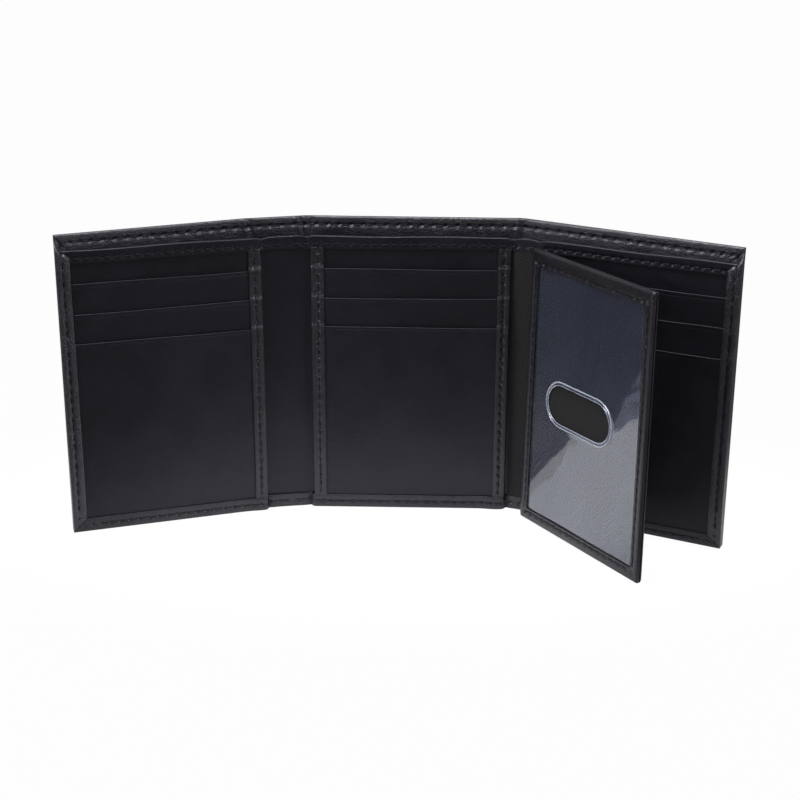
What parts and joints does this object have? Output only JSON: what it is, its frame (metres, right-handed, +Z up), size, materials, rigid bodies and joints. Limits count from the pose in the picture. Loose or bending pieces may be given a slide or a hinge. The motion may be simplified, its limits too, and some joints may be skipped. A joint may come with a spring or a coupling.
{
  "type": "trifold wallet",
  "caption": "Black leather trifold wallet with a bill compartment, card pockets on every panel and a hinged page with clear card windows.",
  "frame": {"origin": "middle of the centre panel's bottom edge, on the plane it stands on", "axes": "+Z up along the panels, +X to the wallet's right as seen from its pockets, so the pockets of the centre panel face -Y"},
  "size_m": [0.2291, 0.0699, 0.108],
  "materials": {
    "black_leather": "smooth black leather with a fine grain and a low sheen",
    "twill_cloth": "black twill, matt",
    "lining_cloth": "thin black plain-weave lining, matt",
    "clear_film": "clear soft vinyl, glossy, with a faint blue haze",
    "thread": "black sewing thread"
  },
  "bodies": {
    "centre_panel": {"centre_cover": "black_leather", "centre_cover_lining": "lining_cloth", "centre_inner_panel": "black_leather", "centre_inner_lining": "lining_cloth", "centre_pocket_back": "black_leather", "centre_upper_leaf": "black_leather", "centre_upper_leaf_cloth": "lining_cloth", "centre_middle_leaf": "black_leather", "centre_middle_leaf_cloth": "lining_cloth", "centre_front_leaf": "black_leather", "centre_left_binding": "black_leather", "centre_right_binding": "black_leather"},
    "left_spine": {"left_spine_cover": "black_leather", "left_spine_cover_lining": "lining_cloth", "left_spine_inner_panel": "black_leather", "left_spine_inner_lining": "lining_cloth"},
    "left_panel": {"left_cover": "black_leather", "left_cover_lining": "lining_cloth", "left_inner_panel": "black_leather", "left_inner_lining": "lining_cloth", "left_pocket_back": "black_leather", "left_upper_leaf": "black_leather", "left_upper_leaf_cloth": "lining_cloth", "left_middle_leaf": "black_leather", "left_middle_leaf_cloth": "lining_cloth", "left_front_leaf": "black_leather", "left_binding": "black_leather"},
    "right_spine": {"right_spine_cover": "black_leather", "right_spine_cover_lining": "lining_cloth", "right_spine_inner_panel": "black_leather", "right_spine_inner_lining": "lining_cloth", "right_spine_twill": "twill_cloth"},
    "right_panel": {"right_cover": "black_leather", "right_cover_lining": "lining_cloth", "right_inner_panel": "black_leather", "right_inner_lining": "lining_cloth", "right_pocket_back": "black_leather", "right_upper_leaf": "black_leather", "right_upper_leaf_cloth": "lining_cloth", "right_middle_leaf": "black_leather", "right_middle_leaf_cloth": "lining_cloth", "right_front_leaf": "black_leather", "right_binding": "black_leather", "flap_hinge_tape": "twill_cloth"},
    "window_page": {"flap_front_frame": "black_leather", "flap_front_window": "clear_film", "flap_twill_divider": "twill_cloth", "flap_back_window": "clear_film", "flap_back_frame": "black_leather"}
  },
  "joints": [
    {"name": "left_inner_crease", "type": "hinge", "parent": "centre_panel", "child": "left_spine", "pos_m": [-0.03625, 0, 0.054], "axis": [0, 0, 1], "range_deg": [-10.5, 79.5]},
    {"name": "left_outer_crease", "type": "hinge", "parent": "left_spine", "child": "left_panel", "pos_m": [-0.05149, -0.00282, 0.054], "axis": [0, 0, 1], "range_deg": [-8.5, 77.5]},
    {"name": "right_inner_crease", "type": "hinge", "parent": "centre_panel", "child": "right_spine", "pos_m": [0.03625, 0, 0.054], "axis": [0, 0, -1], "range_deg": [-21, 69]},
    {"name": "right_outer_crease", "type": "hinge", "parent": "right_spine", "child": "right_panel", "pos_m": [0.04484, -0.0033, 0.054], "axis": [0, 0, -1], "range_deg": [-4, 86]},
    {"name": "page_hinge", "type": "hinge", "parent": "right_panel", "child": "window_page", "pos_m": [0.04356, -0.00722, 0.051], "axis": [0, 0, 1], "range_deg": [-124, 32]}
  ]
}
